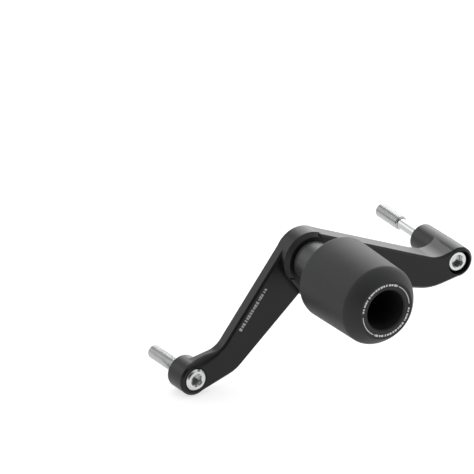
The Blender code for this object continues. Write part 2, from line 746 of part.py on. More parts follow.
def main():
    """Build the frame slider."""
    clear_scene()
    parts = new_collection("motorcycle_frame_slider")
    forms = new_collection("forms_and_cutters")
    build_bracket(parts, forms)
    build_spindle(parts)
    build_bobbin(parts)
    build_bush(parts)
    build_washer(parts)
    build_centre_bolt(parts, forms)
    build_left_bolt(parts, forms)
    build_right_bolt(parts, forms)
    stand_upright(parts, forms)


main()
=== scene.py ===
"""Motorcycle frame slider: finished pieces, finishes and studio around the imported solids.

Every length is in metres in the solids' own frame: +Z is up, and +Y runs from the bobbin
towards the motorcycle, along the axes of the bobbin and of the bolts.
"""

import math

import bpy
from mathutils import Matrix, Vector


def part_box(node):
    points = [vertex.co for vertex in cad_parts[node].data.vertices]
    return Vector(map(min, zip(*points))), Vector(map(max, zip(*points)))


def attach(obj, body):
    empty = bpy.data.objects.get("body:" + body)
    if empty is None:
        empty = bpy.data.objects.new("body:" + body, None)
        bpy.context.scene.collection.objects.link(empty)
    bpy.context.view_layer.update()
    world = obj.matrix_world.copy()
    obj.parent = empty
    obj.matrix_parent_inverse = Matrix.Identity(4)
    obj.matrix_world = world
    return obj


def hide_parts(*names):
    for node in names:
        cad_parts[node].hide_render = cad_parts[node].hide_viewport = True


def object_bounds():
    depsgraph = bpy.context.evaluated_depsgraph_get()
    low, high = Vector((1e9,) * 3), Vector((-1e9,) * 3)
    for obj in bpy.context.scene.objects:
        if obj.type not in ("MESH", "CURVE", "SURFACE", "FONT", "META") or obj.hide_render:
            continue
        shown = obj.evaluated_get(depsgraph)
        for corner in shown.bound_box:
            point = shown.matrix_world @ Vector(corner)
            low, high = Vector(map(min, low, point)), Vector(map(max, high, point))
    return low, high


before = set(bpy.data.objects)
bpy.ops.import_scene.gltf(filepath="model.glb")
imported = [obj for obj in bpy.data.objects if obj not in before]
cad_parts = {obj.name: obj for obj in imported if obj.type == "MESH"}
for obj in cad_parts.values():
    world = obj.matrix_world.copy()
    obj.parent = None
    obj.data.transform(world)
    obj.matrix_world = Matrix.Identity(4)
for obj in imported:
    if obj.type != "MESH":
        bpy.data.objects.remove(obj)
SOLID_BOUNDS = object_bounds()

bl_info = {
    "name": "Motorcycle Frame Slider",
    "version": (1, 0, 0),
    "blender": (4, 5, 0),
    "location": "View3D > Sidebar > Frame Slider",
    "description": "Finished pieces, finishes and studio of a bolt-on frame slider",
    "category": "Object",
}

# Places read from the solids
BOBBIN_LOW, BOBBIN_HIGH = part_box("bobbin")
SPINDLE_LOW, SPINDLE_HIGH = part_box("spindle")
BUSH_LOW, BUSH_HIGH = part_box("bobbin_bush")
WASHER_LOW, WASHER_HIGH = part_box("centre_bolt_washer")
BRACKET_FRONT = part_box("bracket")[0].y
BOBBIN_FRONT = BOBBIN_LOW.y
BOBBIN_REAR = BOBBIN_HIGH.y
BOBBIN_RADIUS = (BOBBIN_HIGH.x - BOBBIN_LOW.x) / 2
AXIS_X = (BOBBIN_LOW.x + BOBBIN_HIGH.x) / 2
AXIS_Z = (BOBBIN_LOW.z + BOBBIN_HIGH.z) / 2

# The photograph's view: the bobbin's axis meets the spindle's rear end at AXIS_PIXEL
PICTURE_SIDE = 474
PIXELS_PER_METRE = 1445.0
AXIS_PIXEL = (298.44, 251.67)
CAMERA_RIGHT = Vector((0.84151, -0.54024, 0.0))
CAMERA_UP = Vector((0.23343, 0.36360, 0.90183))
CAMERA_DISTANCE = 1.5

# Fineness of the pieces
TURNED_STEPS = 160
SMALL_STEPS = 96
SOCKET_STEPS = 48
THREAD_STEPS = 48
CORNER_STEPS = 3
NOSE_STEPS = 14
WELD = 0.000001
THREAD_WELD = 0.000005
SMOOTH_ANGLE = math.radians(25.0)
FLAT_ANGLE = math.radians(0.15)
NORMAL_WEIGHT = 80

# Roundings of turned corners, and the share of a side that a rounding may take
SHARP = 0.0
HAIR_EDGE = 0.0002
FINE_EDGE = 0.0003
SMALL_EDGE = 0.0004
TURNED_EDGE = 0.0005
SOFT_EDGE = 0.0006
NOSE_EDGE = 0.0008
CORNER_ROOM = 0.48

# Gaps between neighbours
FIT_GAP = 0.0003
BUSH_GAP = 0.0006
FLOOR_GAP = 0.0002

# Socket heads, measured from the head's front face
HEAD_CHAMFER = 0.0013
KNURL_COUNT = 48
KNURL_DEPTH = 0.00018
KNURL_START = 0.0022
KNURL_END = 0.0088
KNURL_RINGS = (KNURL_START * 0.86, KNURL_START * 1.01, KNURL_END * 0.99, KNURL_END * 1.02)
KEY_SIDES = 6
KEY_MARGIN = 0.0020
MOUTH_SPREAD = 1.04
MOUTH_DEPTH = 0.0007
DRILL_SHARE = 0.93
DRILL_POINT = 0.0016

# Threads: where they start along +Y, and their outline in shares of a pitch
LEFT_THREAD_START = 0.02855
RIGHT_THREAD_START = 0.07205
ROOT_END = 0.12
CREST_START = 0.38
CREST_END = 0.74
THREAD_CHAMFER = 0.0010
CHAMFER_CUTS = (0.35, 0.7, 1.0)

# Plain marks: a row on the thin arm's front face, and a ring around the bobbin's front face
MARK_START = (-0.0476, 0.00515, 0.0099)
MARK_LENGTH = 0.0346
MARK_RUN = -0.0217
MARK_DROP = 0.0270
MARK_LEAN = math.atan2(MARK_DROP, MARK_RUN)
MARK_SKIN = 0.0004
MARK_COVER = 0.7
MARK_ROUGHNESS = 0.1
RING_START = math.radians(173.0)
RING_RADIUS = 0.0189
RING_SKIN = 0.0006

# Each dash draws its length in shares of a beat and its half width in shares of the dash width
DASH_LENGTHS = (0.45, 0.92)
DASH_HALF_WIDTHS = (0.34, 0.5)
SECOND_DRAW = 7.0

# Finishes: the range that noise mostly keeps to, and how far roughness and tone vary
NOISE_RANGE = (0.3, 0.7)
ANODISED_ROUGHNESS = (0.30, 0.38)
TURNED_ROUGHNESS = (0.30, 0.42)
NYLON_ROUGHNESS = (0.50, 0.60)
BRIGHT_SPREAD = (0.8, 1.25)
# Painted shade: behind its head a bolt's plating is painted darker, to this share of its colour,
# in place of the shade on its shank and thread
PAINTED_SHADE_SHARE = 0.75
WHITE = (1.0, 1.0, 1.0, 1.0)

# Light: directions point from the object to the light, and lamp angles are in degrees
REAR_DIRECTION = (0.60, 0.76, 0.30)
REAR_ANGLE = 60.0
SIDE_DIRECTION = (-0.49, 0.76, 0.42)
SIDE_ANGLE = 35.0
LAMP_DISTANCE = 2.0

# The world darkens around one direction, between these two cosines of the angle from it
DARK_SIDE = (-0.35, -0.86, 0.38)
DARK_FADE = 0.66
DARK_CORE = 0.92


class SliderSizes(bpy.types.PropertyGroup):
    """Sizes that the solids' boxes don't give."""

    flank_taper: bpy.props.FloatProperty(
        name="Flank taper", description="Taper of the bobbin's flank",
        default=math.radians(1.1), subtype="ANGLE")
    nose_length: bpy.props.FloatProperty(
        name="Nose length", description="Length of the bobbin's rounded nose",
        default=0.0112, unit="LENGTH")
    nose_drop: bpy.props.FloatProperty(
        name="Nose drop", description="How far the nose curves in to the front face",
        default=0.0077, unit="LENGTH")
    nose_fullness: bpy.props.FloatProperty(
        name="Nose fullness", description="Higher values keep the nose full for longer",
        default=1.35)
    bore_radius: bpy.props.FloatProperty(
        name="Bore radius", description="Radius of the bobbin's deep bore",
        default=0.01495, unit="LENGTH")
    bore_mouth: bpy.props.FloatProperty(
        name="Bore mouth", description="Width of the chamfer around the bore's mouth",
        default=0.0009, unit="LENGTH")
    web: bpy.props.FloatProperty(
        name="Web", description="Thickness of nylon behind the bore",
        default=0.0177, unit="LENGTH")
    rear_round: bpy.props.FloatProperty(
        name="Rear rounding", description="Rounding of the bobbin's rear edge",
        default=0.0030, unit="LENGTH")
    rear_rim: bpy.props.FloatProperty(
        name="Rear rim", description="Width of the raised rim on the bobbin's rear face",
        default=0.0035, unit="LENGTH")
    rear_recess: bpy.props.FloatProperty(
        name="Rear recess", description="Depth of the recessed rear face",
        default=0.0012, unit="LENGTH")
    seat_radius: bpy.props.FloatProperty(
        name="Seat radius", description="Radius of the seat around the spindle's collar",
        default=0.0200, unit="LENGTH")
    seat_depth: bpy.props.FloatProperty(
        name="Seat depth", description="Depth of the collar's seat in the bobbin",
        default=0.0026, unit="LENGTH")
    bush_hole: bpy.props.FloatProperty(
        name="Bush hole", description="Radius of the hole for the bush",
        default=0.0083, unit="LENGTH")
    shaft_radius: bpy.props.FloatProperty(
        name="Shaft radius", description="Radius of the spindle between collar and bracket",
        default=0.0145, unit="LENGTH")
    collar_radius: bpy.props.FloatProperty(
        name="Collar radius", description="Radius of the spindle's collar",
        default=0.0190, unit="LENGTH")
    collar_proud: bpy.props.FloatProperty(
        name="Collar height", description="How far the collar stands out of the bobbin",
        default=0.0055, unit="LENGTH")
    collar_round: bpy.props.FloatProperty(
        name="Collar rounding", description="Rounding of the collar's edge",
        default=0.0035, unit="LENGTH")
    spigot_radius: bpy.props.FloatProperty(
        name="Spigot radius", description="Radius of the spigot in the bracket",
        default=0.0114, unit="LENGTH")
    bolt_radius: bpy.props.FloatProperty(
        name="Bolt radius", description="Outer radius of the threads",
        default=0.0049, unit="LENGTH")
    waist_radius: bpy.props.FloatProperty(
        name="Waist radius", description="Radius of the frame bolts' thin waist",
        default=0.0036, unit="LENGTH")
    head_height: bpy.props.FloatProperty(
        name="Head height", description="Height of a socket head",
        default=0.0100, unit="LENGTH")
    hex_width: bpy.props.FloatProperty(
        name="Key width", description="Width across flats of the hexagon socket",
        default=0.0080, unit="LENGTH")
    hex_depth: bpy.props.FloatProperty(
        name="Socket depth", description="Depth of the hexagon socket",
        default=0.0050, unit="LENGTH")
    thread_pitch: bpy.props.FloatProperty(
        name="Thread pitch", description="Pitch of the bolts' threads",
        default=0.00125, unit="LENGTH")
    thread_depth: bpy.props.FloatProperty(
        name="Thread depth", description="Depth of the bolts' threads",
        default=0.0006, unit="LENGTH")


class SliderColours(bpy.types.PropertyGroup):
    """Colours of the finishes."""

    anodised: bpy.props.FloatVectorProperty(
        name="Anodised", description="Black anodised aluminium of the bracket",
        default=(0.010, 0.0103, 0.0108), subtype="COLOR", min=0.0, max=1.0)
    turned: bpy.props.FloatVectorProperty(
        name="Turned black", description="Black turned aluminium of the spindle",
        default=(0.044, 0.0445, 0.0455), subtype="COLOR", min=0.0, max=1.0)
    nylon: bpy.props.FloatVectorProperty(
        name="Nylon", description="Dark nylon of the bobbin",
        default=(0.020, 0.0204, 0.021), subtype="COLOR", min=0.0, max=1.0)
    printed: bpy.props.FloatVectorProperty(
        name="Printed marks", description="Pale print of the plain marks",
        default=(0.95, 0.95, 0.94), subtype="COLOR", min=0.0, max=1.0)
    steel: bpy.props.FloatVectorProperty(
        name="Plated steel", description="Bright plating of the bolts and the washer",
        default=(0.62, 0.625, 0.63), subtype="COLOR", min=0.0, max=1.0)
    aluminium: bpy.props.FloatVectorProperty(
        name="Bare aluminium", description="Machined aluminium of the bush",
        default=(0.66, 0.67, 0.69), subtype="COLOR", min=0.0, max=1.0)
    floor: bpy.props.FloatVectorProperty(
        name="Floor", description="Pale studio floor",
        default=(0.47, 0.47, 0.47), subtype="COLOR", min=0.0, max=1.0)


class SliderStudio(bpy.types.PropertyGroup):
    """Light and floor of the studio."""

    world_strength: bpy.props.FloatProperty(
        name="World strength", description="Strength of the world away from its dark side",
        default=1.0)
    dark_strength: bpy.props.FloatProperty(
        name="Dark side", description="Strength of the world around the camera",
        default=0.05)
    rear_strength: bpy.props.FloatProperty(
        name="Rear light", description="Strength of the broad light from behind on the right",
        default=2.0)
    side_strength: bpy.props.FloatProperty(
        name="Side light", description="Strength of the soft light from behind on the left",
        default=0.25)
    floor_glow: bpy.props.FloatProperty(
        name="Floor glow", description="What lifts the pale floor to white in the picture",
        default=0.67)
    floor_size: bpy.props.FloatProperty(
        name="Floor size", description="Width of the studio floor",
        default=30.0, unit="LENGTH")


# Modelling helpers


def deselect_all():
    """Leave nothing selected, so that an operator acts on the new piece alone."""
    bpy.ops.object.select_all(action="DESELECT")


def make_active(piece):
    """Select one piece alone."""
    deselect_all()
    piece.select_set(True)
    bpy.context.view_layer.objects.active = piece


def start_edit(piece):
    """Go into edit mode with all of a piece selected."""
    make_active(piece)
    bpy.ops.object.mode_set(mode="EDIT")
    bpy.ops.mesh.select_all(action="SELECT")


def end_edit():
    """Return to object mode."""
    bpy.ops.object.mode_set(mode="OBJECT")


def softened(corners):
    """Turn a line of (radius, y, rounding) corners into plain points with rounded corners."""
    points = []
    last = len(corners) - 1
    for index, (radius, y, rounding) in enumerate(corners):
        here = Vector((radius, y))
        if rounding == SHARP or index in (0, last):
            points.append(here)
            continue
        back = Vector(corners[index - 1][:2]) - here
        ahead = Vector(corners[index + 1][:2]) - here
        room = CORNER_ROOM * min(back.length, ahead.length)
        back.normalize()
        ahead.normalize()
        half = back.angle(ahead) / 2
        cut_back = min(rounding / math.tan(half), room)
        fitted = cut_back * math.tan(half)
        centre = here + (back + ahead).normalized() * fitted / math.sin(half)
        start = here + back * cut_back - centre
        end = here + ahead * cut_back - centre
        first = math.atan2(start.y, start.x)
        sweep = math.remainder(math.atan2(end.y, end.x) - first, math.tau)
        for step in range(CORNER_STEPS + 1):
            angle = first + sweep * step / CORNER_STEPS
            points.append(centre + fitted * Vector((math.cos(angle), math.sin(angle))))
    return points


def draw_line(name, points, x, z):
    """Draw a line of (radius, y) points beside the axis through (x, z) by extruding a point."""
    deselect_all()
    bpy.ops.mesh.primitive_plane_add(size=WELD)
    piece = bpy.context.object
    piece.name = name
    piece.data.name = name
    start_edit(piece)
    bpy.ops.mesh.merge(type="CENTER")
    bpy.ops.transform.translate(value=(x + points[0].x, points[0].y, z))
    for before, after in zip(points, points[1:]):
        move = (after.x - before.x, after.y - before.y, 0.0)
        bpy.ops.mesh.extrude_region_move(TRANSFORM_OT_translate={"value": move})
    end_edit()
    return piece


def turn(name, corners, x, z, steps):
    """Turn a line of (radius, y, rounding) corners into a closed round piece."""
    piece = draw_line(name, softened(corners), x, z)
    start_edit(piece)
    bpy.ops.mesh.remove_doubles(threshold=WELD)
    bpy.ops.mesh.select_all(action="SELECT")
    bpy.ops.mesh.spin(steps=steps, angle=math.tau, center=(x, 0.0, z), axis=(0.0, 1.0, 0.0))
    bpy.ops.mesh.select_all(action="SELECT")
    bpy.ops.mesh.remove_doubles(threshold=WELD)
    bpy.ops.mesh.normals_make_consistent(inside=False)
    end_edit()
    return piece


def offset_of(vert, x, z):
    """The way from the axis through (x, z) straight out to a vertex."""
    return Vector((vert.co.x - x, vert.co.z - z))


def move_in(vert, x, z, share):
    """Move a vertex in to a share of its distance from the axis through (x, z)."""
    offset = offset_of(vert, x, z) * share
    vert.co.x = x + offset.x
    vert.co.z = z + offset.y


def apply_modifier(piece, modifier):
    """Apply a modifier to a piece."""
    make_active(piece)
    bpy.ops.object.modifier_apply(modifier=modifier.name)


def join_or_cut(piece, tool, operation):
    """Apply a Boolean with a tool piece, which is then removed."""
    step = piece.modifiers.new(operation.lower(), "BOOLEAN")
    step.operation = operation
    step.solver = "EXACT"
    step.object = tool
    apply_modifier(piece, step)
    bpy.data.objects.remove(tool, do_unlink=True)


def finish_piece(piece, node, material):
    """Shade a piece, give it its finish and let it stand for its solid."""
    make_active(piece)
    bpy.ops.object.shade_smooth_by_angle(angle=SMOOTH_ANGLE)
    evened = piece.modifiers.new("evened", "WEIGHTED_NORMAL")
    evened.keep_sharp = True
    evened.weight = NORMAL_WEIGHT
    apply_modifier(piece, evened)
    piece.data.materials.clear()
    piece.data.materials.append(material)
    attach(piece, "root")
    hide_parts(node)


# Finish helpers


class Nodes:
    """A node tree that is filled by short calls."""

    def __init__(self, tree):
        self.tree = tree

    def add(self, kind, **settings):
        """Add a node with its settings."""
        node = self.tree.nodes.new(kind)
        for key, value in settings.items():
            setattr(node, key, value)
        return node

    def join(self, value, socket):
        """Feed a socket from another one or with a plain value."""
        if isinstance(value, bpy.types.NodeSocket):
            self.tree.links.new(value, socket)
        else:
            socket.default_value = value

    def math(self, operation, first, second=0.0):
        """One calculation."""
        node = self.add("ShaderNodeMath", operation=operation)
        self.join(first, node.inputs[0])
        self.join(second, node.inputs[1])
        return node.outputs[0]

    def between(self, value, low, high):
        """1 where a value lies between two limits, and 0 elsewhere."""
        above = self.math("GREATER_THAN", value, low)
        below = self.math("LESS_THAN", value, high)
        return self.math("MULTIPLY", above, below)

    def remap(self, value, from_range, to_range):
        """Move a value from one (low, high) range to another, and keep it there."""
        node = self.add("ShaderNodeMapRange")
        self.join(value, node.inputs["Value"])
        for label, limits in (("From", from_range), ("To", to_range)):
            for end, number in zip(("Min", "Max"), limits):
                self.join(number, node.inputs[label + " " + end])
        return node.outputs["Result"]

    def mix(self, factor, first, second):
        """Mix two colours."""
        node = self.add("ShaderNodeMix", data_type="RGBA")
        self.join(factor, node.inputs["Factor"])
        colours = [socket for socket in node.inputs if socket.type == "RGBA"]
        self.join(first, colours[0])
        self.join(second, colours[1])
        return next(socket for socket in node.outputs if socket.type == "RGBA")

    def noise(self, vector, size, detail):
        """Even noise from 0 to 1, with grains of a size in metres."""
        scale = self.math("DIVIDE", 1.0, size)
        node = self.add("ShaderNodeTexNoise")
        self.join(vector, node.inputs["Vector"])
        self.join(scale, node.inputs["Scale"])
        node.inputs["Detail"].default_value = detail
        return node.outputs["Fac"]

    def parts(self, vector):
        """A vector's X, Y and Z."""
        node = self.add("ShaderNodeSeparateXYZ")
        self.join(vector, node.inputs[0])
        return node.outputs

    def radius(self, parts):
        """The distance from the Y axis of a vector's parts."""
        across = self.math("MULTIPLY", parts["X"], parts["X"])
        upward = self.math("MULTIPLY", parts["Z"], parts["Z"])
        return self.math("SQRT", self.math("ADD", across, upward))

    def near_zero(self, value, limit):
        """1 where a value lies closer to zero than a limit, and 0 elsewhere."""
        return self.math("LESS_THAN", self.math("ABSOLUTE", value), limit)


def shared_group(name, inputs, outputs, fill):
    """The shader group of a name, built on first use; an input without a default is a vector."""
    if name in bpy.data.node_groups:
        return bpy.data.node_groups[name]
    tree = bpy.data.node_groups.new(name, "ShaderNodeTree")
    for label, default in inputs.items():
        kind = "NodeSocketVector" if default is None else "NodeSocketFloat"
        socket = tree.interface.new_socket(label, in_out="INPUT", socket_type=kind)
        if default is not None:
            socket.default_value = default
    for label in outputs:
        tree.interface.new_socket(label, in_out="OUTPUT", socket_type="NodeSocketFloat")
    nodes = Nodes(tree)
    given = nodes.add("NodeGroupInput").outputs
    result = nodes.add("NodeGroupOutput").inputs
    fill(nodes, given, result)
    return tree


def fill_grain(nodes, given, result):
    """Make the fine grain and the slow patches."""
    fine = nodes.noise(given["Vector"], given["Grain Size"], detail=2.0)
    slow = nodes.noise(given["Vector"], given["Patch Size"], detail=3.0)
    nodes.join(fine, result["Grain"])
    nodes.join(slow, result["Patches"])


def grain_group():
    """Fine surface grain with a slow change of tone."""
    inputs = {"Vector": None, "Grain Size": 0.0004, "Patch Size": 0.02}
    return shared_group("fine_grain", inputs, ["Grain", "Patches"], fill_grain)


def fill_turning(nodes, given, result):
    """Make rings from the distance to the axis and the place along it."""
    parts = nodes.parts(given["Vector"])
    place = nodes.math("ADD", nodes.radius(parts), parts["Y"])
    rings = nodes.add("ShaderNodeTexNoise", noise_dimensions="1D")
    nodes.join(nodes.math("DIVIDE", place, given["Ring Size"]), rings.inputs["W"])
    rings.inputs["Scale"].default_value = 1.0
    rings.inputs["Detail"].default_value = 2.0
    nodes.join(rings.outputs["Fac"], result["Rings"])


def turning_group():
    """Fine rings that a lathe leaves, along the axis and across the faces."""
    inputs = {"Vector": None, "Ring Size": 0.0005}
    return shared_group("turning_rings", inputs, ["Rings"], fill_turning)


def fill_dashes(nodes, given, result):
    """Make the dashes, each with its own length and width, and the line."""
    beat = nodes.math("MULTIPLY", given["Along"], given["Dash Count"])
    chance = nodes.add("ShaderNodeTexWhiteNoise", noise_dimensions="1D")
    nodes.join(nodes.math("FLOOR", beat), chance.inputs["W"])
    drawn = chance.outputs["Value"]
    fullness = nodes.remap(drawn, (0.0, 1.0), DASH_LENGTHS)
    on_beat = nodes.math("LESS_THAN", nodes.math("FRACT", beat), fullness)
    redrawn = nodes.math("FRACT", nodes.math("MULTIPLY", drawn, SECOND_DRAW))
    half_share = nodes.remap(redrawn, (0.0, 1.0), DASH_HALF_WIDTHS)
    half_width = nodes.math("MULTIPLY", half_share, given["Dash Width"])
    dash = nodes.math("MULTIPLY", nodes.near_zero(given["Across"], half_width), on_beat)
    dash_place = nodes.between(given["Along"], 0.0, given["Dash End"])
    dash = nodes.math("MULTIPLY", dash, dash_place)
    half_line = nodes.math("DIVIDE", given["Line Width"], 2.0)
    line_place = nodes.between(given["Along"], given["Line Start"], given["Line End"])
    line = nodes.math("MULTIPLY", nodes.near_zero(given["Across"], half_line), line_place)
    nodes.join(nodes.math("MAXIMUM", dash, line), result["Mask"])


def dashes_group():
    """A row of plain printed dashes followed by a thin line, from 0 to 1 along the row."""
    inputs = {
        "Along": 0.0,
        "Across": 0.0,
        "Dash Count": 12.0,
        "Dash End": 0.6,
        "Dash Width": 0.0012,
        "Line Start": 0.65,
        "Line End": 0.95,
        "Line Width": 0.0005,
    }
    return shared_group("printed_dashes", inputs, ["Mask"], fill_dashes)


def use_group(nodes, tree, **values):
    """Place a shader group with its own values."""
    node = nodes.add("ShaderNodeGroup", node_tree=tree)
    for label, value in values.items():
        nodes.join(value, node.inputs[label.replace("_", " ")])
    return node.outputs


def new_finish(name, colour, metallic):
    """A material with its Principled shader, and a way to add nodes to it."""
    material = bpy.data.materials.new(name)
    material.use_nodes = True
    shader = material.node_tree.nodes["Principled BSDF"]
    shader.inputs["Base Color"].default_value = (*colour, 1.0)
    shader.inputs["Metallic"].default_value = metallic
    return material, shader, Nodes(material.node_tree)


def centred(nodes, x, y, z):
    """Object coordinates counted from one point."""
    source = nodes.add("ShaderNodeTexCoord")
    mapping = nodes.add("ShaderNodeMapping")
    mapping.inputs["Location"].default_value = (-x, -y, -z)
    nodes.join(source.outputs["Object"], mapping.inputs["Vector"])
    return mapping.outputs["Vector"]


def raise_surface(nodes, shader, height, distance, strength):
    """Bump a surface by a height from 0 to 1."""
    bump = nodes.add("ShaderNodeBump")
    bump.inputs["Distance"].default_value = distance
    bump.inputs["Strength"].default_value = strength
    nodes.join(height, bump.inputs["Height"])
    nodes.join(bump.outputs["Normal"], shader.inputs["Normal"])


def toned(colour, share):
    """A colour at a share of its brightness."""
    return (*(channel * share for channel in colour), 1.0)


def shaded(nodes, colour, patches, spread):
    """A colour that gets a little darker and lighter over the surface."""
    factor = nodes.remap(patches, NOISE_RANGE, (0.0, 1.0))
    return nodes.mix(factor, toned(colour, 1.0 - spread), toned(colour, 1.0 + spread))


def anodised_finish(colours):
    """Satin black anodised aluminium with a fine blasted grain and plain marks on one arm."""
    material, shader, nodes = new_finish("satin_black_anodised", colours.anodised, metallic=0.0)
    shader.inputs["IOR"].default_value = 1.35
    place = centred(nodes, 0.0, 0.0, 0.0)
    grain = use_group(nodes, grain_group(), Vector=place, Grain_Size=0.00035, Patch_Size=0.025)
    base = shaded(nodes, colours.anodised, grain["Patches"], spread=0.12)
    row = nodes.add("ShaderNodeMapping", vector_type="TEXTURE")
    row.inputs["Location"].default_value = MARK_START
    row.inputs["Rotation"].default_value = (0.0, MARK_LEAN, 0.0)
    nodes.join(place, row.inputs["Vector"])
    parts = nodes.parts(row.outputs["Vector"])
    marks = use_group(
        nodes, dashes_group(), Along=nodes.math("DIVIDE", parts["X"], MARK_LENGTH),
        Across=parts["Z"], Dash_Count=16.0, Dash_End=1.0, Dash_Width=0.0030,
        Line_Start=1.0, Line_End=1.0, Line_Width=0.0004)
    mask = nodes.math("MULTIPLY", marks["Mask"], nodes.near_zero(parts["Y"], MARK_SKIN))
    cover = nodes.math("MULTIPLY", mask, MARK_COVER)
    nodes.join(nodes.mix(cover, base, (*colours.printed, 1.0)), shader.inputs["Base Color"])
    rough = nodes.remap(grain["Grain"], NOISE_RANGE, ANODISED_ROUGHNESS)
    rough = nodes.math("ADD", rough, nodes.math("MULTIPLY", mask, MARK_ROUGHNESS))
    nodes.join(rough, shader.inputs["Roughness"])
    raise_surface(nodes, shader, grain["Grain"], distance=0.00002, strength=0.5)
    return material


def turned_black_finish(colours):
    """Fine turned black aluminium."""
    material, shader, nodes = new_finish("turned_black_anodised", colours.turned, metallic=0.0)
    shader.inputs["IOR"].default_value = 1.42
    place = centred(nodes, AXIS_X, 0.0, AXIS_Z)
    grain = use_group(nodes, grain_group(), Vector=place, Grain_Size=0.0006, Patch_Size=0.02)
    rings = use_group(nodes, turning_group(), Vector=place, Ring_Size=0.00035)
    base = shaded(nodes, colours.turned, grain["Patches"], spread=0.1)
    nodes.join(base, shader.inputs["Base Color"])
    rough = nodes.remap(rings["Rings"], NOISE_RANGE, TURNED_ROUGHNESS)
    nodes.join(rough, shader.inputs["Roughness"])
    raise_surface(nodes, shader, rings["Rings"], distance=0.00003, strength=0.5)
    return material


def nylon_finish(colours):
    """Dark turned nylon, with plain printed marks around the front face."""
    material, shader, nodes = new_finish("dark_nylon", colours.nylon, metallic=0.0)
    shader.inputs["IOR"].default_value = 1.40
    place = centred(nodes, AXIS_X, BOBBIN_FRONT, AXIS_Z)
    grain = use_group(nodes, grain_group(), Vector=place, Grain_Size=0.0005, Patch_Size=0.03)
    rings = use_group(nodes, turning_group(), Vector=place, Ring_Size=0.0006)
    base = shaded(nodes, colours.nylon, grain["Patches"], spread=0.08)
    parts = nodes.parts(place)
    angle = nodes.math("ARCTAN2", parts["Z"], parts["X"])
    half_turns = nodes.math("DIVIDE", nodes.math("SUBTRACT", RING_START, angle), math.pi)
    marks = use_group(
        nodes, dashes_group(), Along=nodes.math("FRACT", nodes.math("ADD", half_turns, 2.0)),
        Across=nodes.math("SUBTRACT", nodes.radius(parts), RING_RADIUS),
        Dash_Count=26.0, Dash_End=0.63, Dash_Width=0.0017,
        Line_Start=0.65, Line_End=0.95, Line_Width=0.0006)
    mask = nodes.math("MULTIPLY", marks["Mask"], nodes.near_zero(parts["Y"], RING_SKIN))
    nodes.join(nodes.mix(mask, base, (*colours.printed, 1.0)), shader.inputs["Base Color"])
    rough = nodes.remap(grain["Grain"], NOISE_RANGE, NYLON_ROUGHNESS)
    nodes.join(rough, shader.inputs["Roughness"])
    height = nodes.math("ADD", nodes.math("MULTIPLY", rings["Rings"], 0.6),
                        nodes.math("MULTIPLY", grain["Grain"], 0.4))
    raise_surface(nodes, shader, height, distance=0.00003, strength=0.5)
    return material


def bright_finish(name, colour, x, z, roughness, ring_size, painted_shade_from=None):
    """Bright turned metal around an axis, painted darker behind a place along it if one is given,
    as painted shade on a bolt's shank and thread.
    """
    material, shader, nodes = new_finish(name, colour, metallic=1.0)
    place = centred(nodes, x, 0.0, z)
    grain = use_group(nodes, grain_group(), Vector=place, Grain_Size=0.0009, Patch_Size=0.006)
    rings = use_group(nodes, turning_group(), Vector=place, Ring_Size=ring_size)
    base = shaded(nodes, colour, grain["Patches"], spread=0.05)
    # Painted shade: everything behind the given place is painted darker, in place of the shade on
    # the shank and thread
    if painted_shade_from is not None:
        in_painted_shade = nodes.math("GREATER_THAN", nodes.parts(place)["Y"], painted_shade_from)
        base = nodes.mix(in_painted_shade, base, toned(colour, PAINTED_SHADE_SHARE))
    nodes.join(base, shader.inputs["Base Color"])
    limits = [roughness * share for share in BRIGHT_SPREAD]
    rough = nodes.remap(grain["Grain"], NOISE_RANGE, limits)
    nodes.join(rough, shader.inputs["Roughness"])
    raise_surface(nodes, shader, rings["Rings"], distance=0.00001, strength=0.4)
    return material


# Pieces


def make_bracket(colours):
    """The one-piece bracket, with its machined faces and chamfers."""
    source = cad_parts["bracket"]
    piece = bpy.data.objects.new("bracket_machined", source.data.copy())
    bpy.context.scene.collection.objects.link(piece)
    make_active(piece)
    bpy.ops.mesh.customdata_custom_splitnormals_clear()
    start_edit(piece)
    bpy.ops.mesh.remove_doubles(threshold=WELD)
    bpy.ops.mesh.dissolve_limited(angle_limit=FLAT_ANGLE)
    end_edit()
    finish_piece(piece, "bracket", anodised_finish(colours))


def make_spindle(sizes, colours):
    """The stand-off, with its rounded collar and its spigot."""
    hole = sizes.bolt_radius + FIT_GAP
    front = SPINDLE_LOW.y
    rear = SPINDLE_HIGH.y
    shoulder = BRACKET_FRONT - FIT_GAP
    collar_rear = BOBBIN_REAR + sizes.collar_proud
    corners = [
        (hole, front, SHARP),
        (sizes.collar_radius, front, TURNED_EDGE),
        (sizes.collar_radius, collar_rear, sizes.collar_round),
        (sizes.shaft_radius, collar_rear, SOFT_EDGE),
        (sizes.shaft_radius, shoulder, SOFT_EDGE),
        (sizes.spigot_radius, shoulder, SHARP),
        (sizes.spigot_radius, rear, TURNED_EDGE),
        (hole, rear, SHARP),
        (hole, front, SHARP),
    ]
    piece = turn("spindle_turned", corners, AXIS_X, AXIS_Z, TURNED_STEPS)
    finish_piece(piece, "spindle", turned_black_finish(colours))


def nose_corners(sizes):
    """The bobbin's rounded nose, from its front face back to its flank."""
    flank_length = BOBBIN_REAR - BOBBIN_FRONT - sizes.nose_length
    flank = BOBBIN_RADIUS - flank_length * math.tan(sizes.flank_taper)
    corners = []
    for step in range(NOSE_STEPS + 1):
        share = step / NOSE_STEPS
        drop = sizes.nose_drop * (1.0 - share) ** sizes.nose_fullness
        rounding = NOSE_EDGE if step == 0 else SHARP
        corners.append((flank - drop, BOBBIN_FRONT + sizes.nose_length * share, rounding))
    return corners


